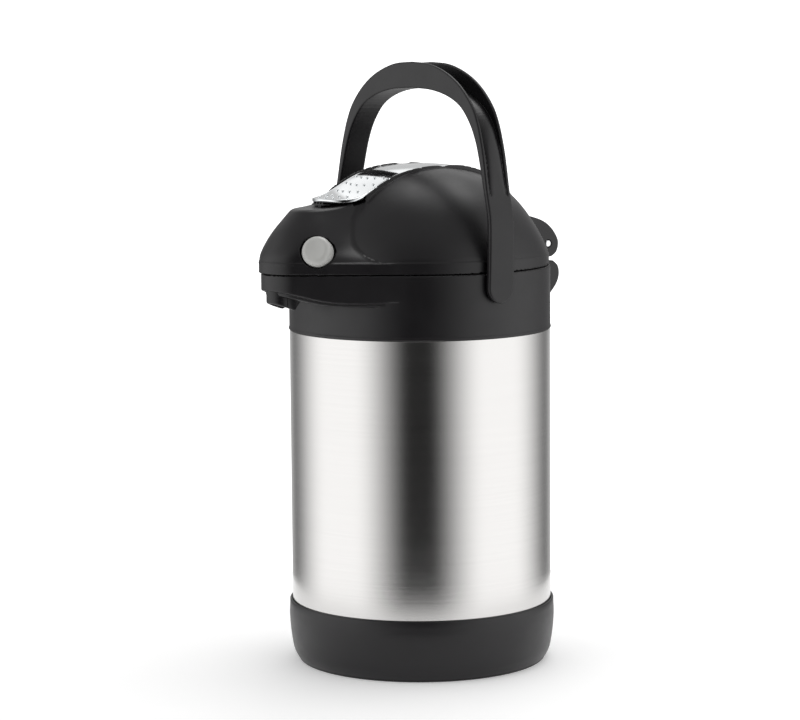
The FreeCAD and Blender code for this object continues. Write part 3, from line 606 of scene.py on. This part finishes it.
def cowl_field(x, y, z):
    nose = np.hypot(x, y - NOZZLE_Y) - COWL_NOSE_RADIUS
    back = np.maximum(np.abs(x) - COWL_HALF_WIDTH, slab(y, NOZZLE_Y, -80.0))
    plan = joined(nose, back, 1.5) + 0 * z
    cowl = common(outline_field(COWL, y, z), plan, 0.9)
    return without(cowl, np.hypot(x, y - NOZZLE_Y) - COWL_HOLE + 0 * z, 0.3)


def make_cowl():
    low, high = corners("nozzle_cowl")
    moulding("nozzle_cowl_moulding", cowl_field, low, high, 0.6, "pot",
             MATERIALS["black_plastic"], ["nozzle_cowl"])


# --- bail and hinge -------------------------------------------------------------------------------

def arch_outline(half):
    right = rounded_curve([(x, BAIL_Z + h) for x, h in half], 4)
    return right + [(-x, z) for x, z in right[-2::-1]]


BAIL_BAND = arch_outline(BAIL_OUTSIDE) + arch_outline(BAIL_INSIDE)[::-1]
GROOVE_SPACE = arch_outline(BAIL_GROOVE_FLOOR) + [(-95.0, BAIL_Z + 58.0), (-95.0, 400.0), (95.0, 400.0),
                                                 (95.0, BAIL_Z + 58.0)]


def bail_field(x, y, z):
    height = z - BAIL_Z
    level_y = y * math.cos(BAIL_LEAN) - height * math.sin(BAIL_LEAN)
    level_z = BAIL_Z + height * math.cos(BAIL_LEAN) + y * math.sin(BAIL_LEAN)
    wide_x = x + 0 * level_z
    half = BAIL_HALF_WIDTH - BAIL_TAPER * np.clip((level_z - BAIL_Z) / 140.0, 0, 1)
    across = np.where(level_z > BAIL_Z, np.abs(level_y) - half,
                      np.hypot(level_y, level_z - BAIL_Z) - BAIL_HALF_WIDTH)
    strap = common(outline_field(BAIL_BAND, wide_x, level_z), across, 1.3)
    crown = GROOVE_SIDE_DEPTH * (1 - (level_y / GROOVE_HALF_WIDTH) ** 2) - 2.3
    groove = common(outline_field(GROOVE_SPACE, wide_x, level_z) + crown,
                    np.abs(level_y) - GROOVE_HALF_WIDTH, 0.6)
    strap = without(strap, groove, 0.7)
    pin = np.maximum(np.hypot(level_y, level_z - BAIL_Z) - 4.5, slab(np.abs(wide_x), 75.6, 85.0))
    return joined(strap, pin)


def make_bail():
    moulding("bail_moulding", bail_field, BAIL_LOW, BAIL_HIGH, 0.9, "bail",
             MATERIALS["black_plastic"], ["bail"])


BRACKET_CURVE = rounded_curve(BRACKET[:-2], 4) + BRACKET[-2:]


def bracket_field(x, y, z):
    lobe = common(outline_field(BRACKET_CURVE, y, z), np.abs(x) - HINGE_HALF_WIDTH, 1.2)
    stem = common(joined(np.hypot(y - HINGE_Y, z - HINGE_Z) - 6.8,
                         np.maximum(np.abs(y - HINGE_Y) - 6.8, slab(z, 246.0, HINGE_Z))),
                  np.abs(x) - 7.4, 0.6)
    solid = joined(lobe, stem, 0.8)
    return without(solid, np.hypot(x, y) - COLLAR_RADIUS + 0 * z, 0.2)


def make_bracket():
    moulding("hinge_bracket_moulding", bracket_field, BRACKET_LOW, BRACKET_HIGH, 0.7, "pot",
             MATERIALS["black_plastic"], ["hinge_bracket"])


# --- lever ----------------------------------------------------------------------------------------

DOT_ROWS = [(-37.0, 5), (-45.0, 5), (-53.0, 4), (-61.0, 4), (-68.0, 3)]
DOT_SPACING = 7.6
DOT_RADIUS = 0.95
PLATE_THICKNESS = 1.4
LIP_DEPTH = 2.2
LIP_WIDTH = 1.5


def lever_crown(x):
    return 1.1 * (x / LEVER_HALF_WIDTH) ** 2


def make_grip_dots():
    """Raised dots on the lever's front, in rows that bow towards the tip."""
    rings, around = 5, 16
    points, faces = [], []
    for row_y, count in DOT_ROWS:
        for i in range(count):
            x = (i - (count - 1) / 2) * DOT_SPACING
            y = row_y - 2.5 * (1 - (x / 16.0) ** 2)
            slope = float(lever_height(y + 0.5) - lever_height(y - 0.5))
            normal = Vector((2.2 * x / LEVER_HALF_WIDTH ** 2, -slope, 1)).normalized()
            place = Matrix.Translation(Vector((x, y, float(lever_height(y)) - lever_crown(x))))
            place = place @ normal.to_track_quat("Z", "Y").to_matrix().to_4x4()
            first = len(points)
            for ring in range(rings):
                rise = math.radians(-15 + ring * 105 / rings)
                for j in range(around):
                    turn = 2 * math.pi * j / around
                    points.append(place @ Vector((DOT_RADIUS * math.cos(rise) * math.cos(turn),
                                                  DOT_RADIUS * math.cos(rise) * math.sin(turn),
                                                  DOT_RADIUS * math.sin(rise))))
            points.append(place @ Vector((0, 0, DOT_RADIUS)))
            for ring in range(rings - 1):
                for j in range(around):
                    low, high = first + ring * around, first + (ring + 1) * around
                    faces.append((low + j, low + (j + 1) % around, high + (j + 1) % around, high + j))
            last = first + (rings - 1) * around
            faces += [(last + j, last + (j + 1) % around, len(points) - 1) for j in range(around)]
            faces.append([first + j for j in reversed(range(around))])
    mesh_object("lever_grip_dots", [tuple(p) for p in points], faces, "lever",
                MATERIALS["polished_steel"])


def lever_field(x, y, z):
    tip = LEVER_LOW.y
    centre = tip + LEVER_HALF_WIDTH
    plan = np.where(y > centre, np.abs(x) - LEVER_HALF_WIDTH, np.hypot(x, y - centre) - LEVER_HALF_WIDTH)
    plan = common(plan, y - LEVER_HIGH.y)
    slope = (lever_height(y + 0.5) - lever_height(y - 0.5))
    level = 1 / np.sqrt(1 + slope ** 2)
    top = (z - lever_height(y) + lever_crown(x)) * level
    sheet = common(common(top, -top - PLATE_THICKNESS), plan + 0 * z, 0.5)
    lip = common(slab(top, -LIP_DEPTH, 0.0), slab(plan + 0 * z, -LIP_WIDTH, 0.0), 0.6)
    return joined(sheet, lip, 0.6)


def make_lever():
    low = LEVER_LOW - Vector((1, 1, 3))
    high = LEVER_HIGH + Vector((1, 1, 1))
    moulding("lever_plate_polished", lever_field, low, high, 0.55, "lever",
             MATERIALS["polished_steel"], ["lever_plate"])


# --- turned pieces --------------------------------------------------------------------------------

def arc(centre, radius, start, end, steps=6):
    """Points on an arc, the angles in degrees."""
    angles = [math.radians(start + (end - start) * i / steps) for i in range(steps + 1)]
    return [(centre[0] + radius * math.cos(a), centre[1] + radius * math.sin(a)) for a in angles]


def make_shell():
    inner = SHELL_RADIUS - 0.6
    outside = [(SHELL_RADIUS, SHELL_LOW.z + 1)]
    outside += [(SHELL_RADIUS, z) for z in np.linspace(SHELL_LOW.z + 4, SHELL_TOP - 3, 24)]
    outside += arc((SHELL_RADIUS - 0.5, SHELL_TOP - 0.5), 0.5, 0, 90, 4)
    profile = outside + [(inner, SHELL_TOP), (inner, SHELL_LOW.z), (SHELL_RADIUS - 0.2, SHELL_LOW.z)]
    turned("steel_body", profile, "pot", MATERIALS["brushed_steel"], ["outer_shell"],
           256)


def make_base():
    flank = rounded_curve([(79.2, 1.2), (81.2, 4.4), (82.9, 9.0), (84.4, 19.0), (85.1, 29.0), (84.9, 35.0)],
                          4)
    lip = arc((84.0, BASE_HIGH.z - 0.9), 0.8, 10, 150, 6)
    foot = arc((77.6, 1.8), 1.8, 270, 340, 5)
    inside = [(SHELL_RADIUS + 0.05, BASE_HIGH.z - 1.0), (SHELL_RADIUS, 14.0), (79.0, 14.0), (79.0, 8.0),
              (26.0, 8.0), (26.0, 5.0), (70.0, 5.0), (70.0, 0.6), (70.6, 0.0)]
    profile = foot + flank + lip + inside
    turned("base_moulding", profile, "pot", MATERIALS["black_plastic"], ["base_ring"], 256)


def make_button(side_name, sign):
    """Button with a dished face and a rounded edge."""
    top, bottom, radius, rim, rounding = 3.2, -5.5, BUTTON_RADIUS - 0.4, 6.2, 3.2
    dish = [(r, top - 0.5 * (1 - (r / rim) ** 2)) for r in np.linspace(0, rim, 9)]
    edge = arc((radius - rounding, top - rounding), rounding, 85, 0, 10)
    profile = [(0.0, bottom), *dish, *edge, (radius, bottom + 0.4), (radius - 0.4, bottom)]
    axis = Vector((sign * BUTTON_AXIS.x, BUTTON_AXIS.y, BUTTON_AXIS.z))
    centre = Vector((sign * BUTTON_CENTRE.x, BUTTON_CENTRE.y, BUTTON_CENTRE.z))
    place = Matrix.Translation(centre) @ axis.to_track_quat("Z", "Y").to_matrix().to_4x4()
    turned("button_face_" + side_name, profile[::-1], "button_" + side_name,
           MATERIALS["button_plastic"], ["release_button_" + side_name], 96, place)


def make_pin():
    """Hinge pin with rounded ends that show in the lobes."""
    half, radius = HINGE_HALF_WIDTH + 0.2, 1.7
    profile = [(0.0, -half), *arc((1.4, -half + 0.9), 0.9, 270, 360, 4), (2.3, 1.0 - HINGE_HALF_WIDTH),
               (radius, 1.2 - HINGE_HALF_WIDTH), (radius, HINGE_HALF_WIDTH - 1.2),
               (2.3, HINGE_HALF_WIDTH - 1.0),
               *arc((1.4, half - 0.9), 0.9, 0, 90, 4), (0.0, half)]
    place = Matrix.Translation(Vector((0, HINGE_Y, HINGE_Z))) @ Matrix.Rotation(math.pi / 2, 4, "Y")
    turned("hinge_pin_turned", profile, "lid", MATERIALS["pin_steel"], ["hinge_pin"], 48, place)


# --- carried-over nodes ---------------------------------------------------------------------------

def dress_nodes():
    """Gives every CAD node its material and smooth shading, and six listed nodes a small rounded edge."""
    slots = {part["node"]: part["material_slot"] for part in frame["record"]["subparts"]}
    for node, piece in frame["nodes"].items():
        piece.data.materials.clear()
        piece.data.materials.append(MATERIALS[slots[node]])
        piece.data.polygons.foreach_set("use_smooth", [True] * len(piece.data.polygons))
        piece.data.set_sharp_from_angle(angle=math.radians(32))
        if node in ("lever_frame", "lever_lock", "nozzle_cowl", "bottom_cap", "lid_base", "foot_pads"):
            edge = piece.modifiers.new("edge", "BEVEL")
            edge.width = 0.25 * MM
            edge.segments = 2
            edge.limit_method = "ANGLE"
            edge.angle_limit = math.radians(40)
            edge.harden_normals = False


# --- studio ---------------------------------------------------------------------------------------

CAMERA_AZIMUTH = math.radians(-36.2)


def make_camera():
    """Camera at three-quarter front, a little above the lid, 1.8 m from the pot."""
    place = Vector((1.4614, -1.0233, 0.4017))
    forward = Vector((-0.8176, 0.5638, -0.1167)).normalized()
    right = forward.cross(Vector((-0.0915, 0.0728, 0.9931))).normalized()
    up = right.cross(forward)
    data = bpy.data.cameras.new("camera")
    data.lens, data.sensor_width = 126.5, 36.0
    data.clip_start, data.clip_end = 0.05, 50.0
    camera = bpy.data.objects.new("camera", data)
    bpy.context.scene.collection.objects.link(camera)
    camera.matrix_world = Matrix.Translation(place) @ Matrix((right, up, -forward)).transposed().to_4x4()
    bpy.context.scene.camera = camera


def area_light(name, azimuth, height, distance, size, power):
    """Soft box facing the pot; azimuth in degrees from the camera's own direction."""
    turn = math.radians(azimuth) + CAMERA_AZIMUTH
    place = Vector((math.cos(turn) * distance, math.sin(turn) * distance, height))
    data = bpy.data.lights.new(name, "AREA")
    data.shape = "RECTANGLE"
    data.size, data.size_y = size
    data.energy = power
    light = bpy.data.objects.new(name, data)
    light.location = place
    light.rotation_mode = "QUATERNION"
    light.rotation_quaternion = (Vector((0, 0, 0.2)) - place).to_track_quat("-Z", "Y")
    bpy.context.scene.collection.objects.link(light)


# Studio, by angle in degrees from the camera's direction: a black card ahead, a wide soft box on each side
# that grows to full strength and fades again, and a dim fill behind
CARD_EDGE, BOX_FULL, BOX_FADES, BOX_ENDS, FILL_STARTS = 8, 60, 90, 145, 170
CARD_LEVEL, BOX_LEVEL, GAP_LEVEL, FILL_LEVEL = 0.02, 1.4, 0.25, 0.6
BACKDROP_LEVEL = 1.5
OVERHEAD_LEVEL = 0.45
PANEL_LEVEL = 0.55


def make_world():
    """Plain white backdrop, and the soft boxes, black card and rear panel that the pot reflects."""
    world = bpy.data.worlds.new("studio")
    world.use_nodes = True
    nodes, links = world.node_tree.nodes, world.node_tree.links
    turned_direction = nodes.new("ShaderNodeMapping")
    turned_direction.vector_type = "POINT"
    turned_direction.inputs["Rotation"].default_value = (0, 0, -CAMERA_AZIMUTH)
    links.new(nodes.new("ShaderNodeTexCoord").outputs["Generated"], turned_direction.inputs["Vector"])
    split = nodes.new("ShaderNodeSeparateXYZ")
    links.new(turned_direction.outputs["Vector"], split.inputs[0])

    def compute(operation, *values):
        node = nodes.new("ShaderNodeMath")
        node.operation = operation
        for socket, value in zip(node.inputs, values):
            if isinstance(value, (int, float)):
                socket.default_value = value
            else:
                links.new(value, socket)
        return node.outputs[0]

    def ramp(value, stops, peak):
        node = nodes.new("ShaderNodeValToRGB")
        node.color_ramp.interpolation = "EASE"
        elements = node.color_ramp.elements
        elements[0].position, elements[1].position = stops[0][0], stops[-1][0]
        for position, _ in stops[1:-1]:
            elements.new(position)
        for element, (_, level) in zip(elements, stops):
            element.color = (level / peak, level / peak, level / peak, 1)
        links.new(value, node.inputs["Fac"])
        return compute("MULTIPLY", node.outputs["Color"], peak)

    azimuth = compute("ABSOLUTE", compute("ARCTAN2", split.outputs["Y"], split.outputs["X"]))
    turn = compute("DIVIDE", azimuth, math.pi)
    stops = [(CARD_EDGE, CARD_LEVEL), (BOX_FULL, BOX_LEVEL), (BOX_FADES, BOX_LEVEL), (BOX_ENDS, GAP_LEVEL),
             (FILL_STARTS, FILL_LEVEL)]
    around = ramp(turn, [(degrees / 180, level) for degrees, level in stops], BOX_LEVEL)
    overhead = ramp(split.outputs["Z"], [(0.0, 0.0), (0.45, 0.0), (0.8, 1.0), (1.0, 1.0)], 1.0)
    level = compute("ADD", compute("MULTIPLY", around, compute("SUBTRACT", 1.0, overhead)),
                    compute("MULTIPLY", overhead, OVERHEAD_LEVEL))
    panel_height = ramp(split.outputs["Z"], [(0.3, 0.0), (0.4, 1.0), (0.62, 1.0), (0.75, 0.0)], 1.0)
    panel = compute("MULTIPLY", panel_height, ramp(turn, [(0.72, 0.0), (0.85, 1.0)], 1.0))
    level = compute("ADD", level, compute("MULTIPLY", panel, PANEL_LEVEL))
    seen = nodes.new("ShaderNodeLightPath").outputs["Is Camera Ray"]
    links.new(compute("MAXIMUM", level, compute("MULTIPLY", seen, BACKDROP_LEVEL)),
              nodes["Background"].inputs["Strength"])
    nodes["Background"].inputs["Color"].default_value = (1, 1, 1, 1)
    bpy.context.scene.world = world


FLOOR_RADIUS = 0.3


def make_studio():
    bpy.context.scene.view_settings.view_transform = "Standard"
    make_world()
    area_light("top_box", 150, 1.7, 0.5, (1.0, 1.0), 9)
    floor = Material("floor", (0.95, 0.95, 0.95), 0.8, Emission_Color=(1, 1, 1, 1), Emission_Strength=0.28)
    floor.shade(floor.noise(3, 2), 0.99, 1.01)
    bpy.ops.mesh.primitive_circle_add(vertices=128, radius=FLOOR_RADIUS, fill_type="NGON")
    disc = bpy.context.object
    disc.name = "floor"
    disc.data.materials.append(floor.material)


dress_nodes()
make_lid()
make_collar()
make_bail()
make_bracket()
make_lever()
make_grip_dots()
make_cowl()
make_shell()
make_base()
make_button("right", 1)
make_button("left", -1)
make_pin()
make_camera()
make_studio()
